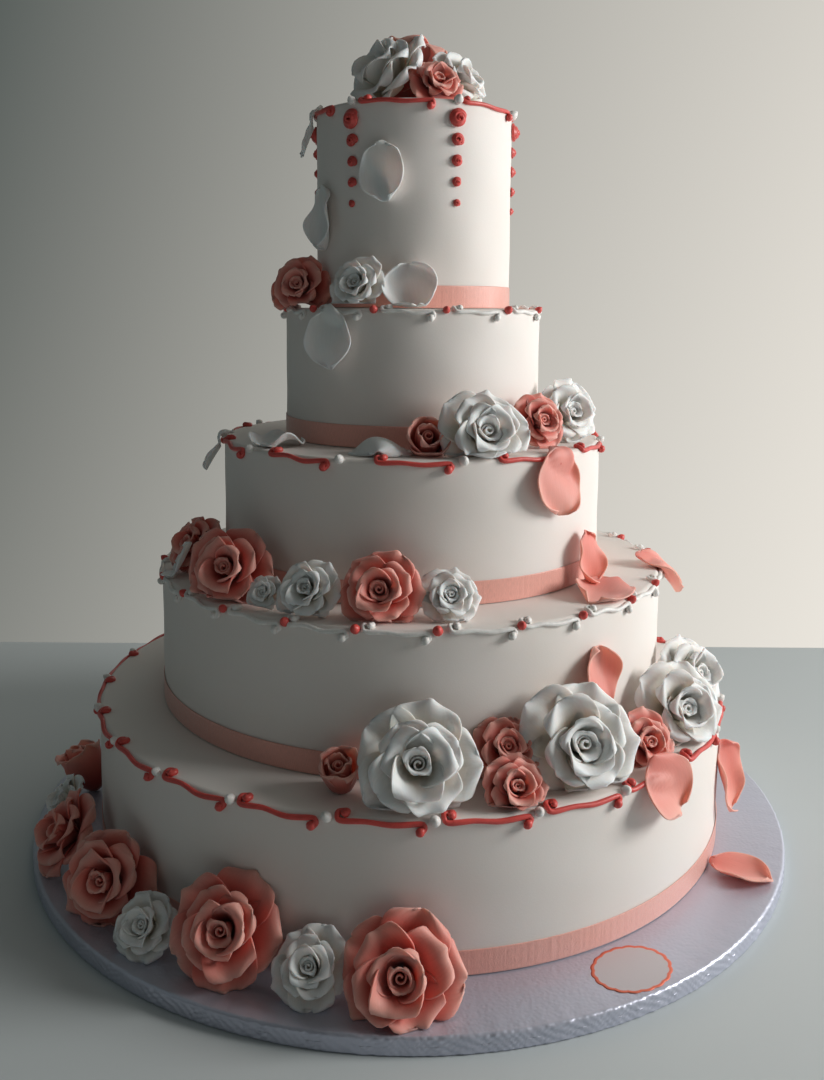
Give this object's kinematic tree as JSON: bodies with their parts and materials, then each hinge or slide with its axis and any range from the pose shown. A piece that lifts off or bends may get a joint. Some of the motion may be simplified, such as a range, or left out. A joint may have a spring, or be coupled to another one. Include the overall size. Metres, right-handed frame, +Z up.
{
  "type": "tiered wedding cake",
  "caption": "Round tiered wedding cake in white fondant on a silver drum, with satin ribbon bands, piped scroll rims and a zigzag cascade of coral and white sugar roses and loose petals.",
  "frame": {"origin": "middle of the cake drum's underside, where it stands on a table", "axes": "+Z up through the middle of every tier; -Y is the front, where the flower cascade is fullest; +X is the viewer's right"},
  "size_m": [0.61, 0.61, 0.6321],
  "materials": {
    "fondant": "smooth matte sugar paste with piped royal icing, white and coral red",
    "satin_ribbon": "coral pink satin",
    "silver_foil": "silver embossed foil over board",
    "white_sugar": "matte sugar paste",
    "coral_sugar": "matte sugar paste dusted with colour"
  },
  "bodies": {
    "root": {"tier_1_base": "fondant", "ribbon_1_base": "satin_ribbon", "tier_2": "fondant", "ribbon_2": "satin_ribbon", "tier_3": "fondant", "ribbon_3": "satin_ribbon", "tier_4": "fondant", "ribbon_4": "satin_ribbon", "tier_5_top": "fondant", "ribbon_5_top": "satin_ribbon", "cake_drum": "silver_foil", "rose_drum_a_coral": "coral_sugar", "rose_drum_b_white": "white_sugar", "rose_drum_c_coral": "coral_sugar", "rose_drum_d_white": "white_sugar", "rose_drum_e_coral": "coral_sugar", "rose_drum_f_coral": "coral_sugar", "rose_drum_g_white": "white_sugar", "rose_drum_h_coral": "coral_sugar", "petal_drum_coral": "coral_sugar", "rose_base_a_white": "white_sugar", "bud_base_b_coral": "coral_sugar", "rose_base_c_coral": "coral_sugar", "rose_base_d_coral": "coral_sugar", "rose_base_e_white": "white_sugar", "rose_base_f_coral": "coral_sugar", "rose_base_g_white": "white_sugar", "rose_base_h_white": "white_sugar", "petal_base_i_coral": "coral_sugar", "petal_base_j_coral": "coral_sugar", "petal_base_k_coral": "coral_sugar", "rose_second_a_coral": "coral_sugar", "rose_second_b_white": "white_sugar", "rose_second_c_white": "white_sugar", "rose_second_d_white": "white_sugar", "rose_second_e_coral": "coral_sugar", "petal_second_f_white": "white_sugar", "rose_second_g_coral": "coral_sugar", "petal_second_h_coral": "coral_sugar", "petal_second_i_coral": "coral_sugar", "petal_second_j_coral": "coral_sugar", "rose_third_a_white": "white_sugar", "bud_third_b_coral": "coral_sugar", "rose_third_c_coral": "coral_sugar", "rose_third_d_white": "white_sugar", "petal_third_e_coral": "coral_sugar", "petal_third_f_white": "white_sugar", "petal_third_g_white": "white_sugar", "petal_third_h_white": "white_sugar", "rose_fourth_a_coral": "coral_sugar", "rose_fourth_b_white": "white_sugar", "petal_fourth_c_white": "white_sugar", "petal_fourth_d_white": "white_sugar", "rose_top_a_white": "white_sugar", "rose_top_b_coral": "coral_sugar", "rose_top_c_white": "white_sugar", "rose_top_d_coral": "coral_sugar", "petal_top_e_white": "white_sugar", "petal_top_f_white": "white_sugar", "petal_top_g_white": "white_sugar"}
  },
  "joints": []
}
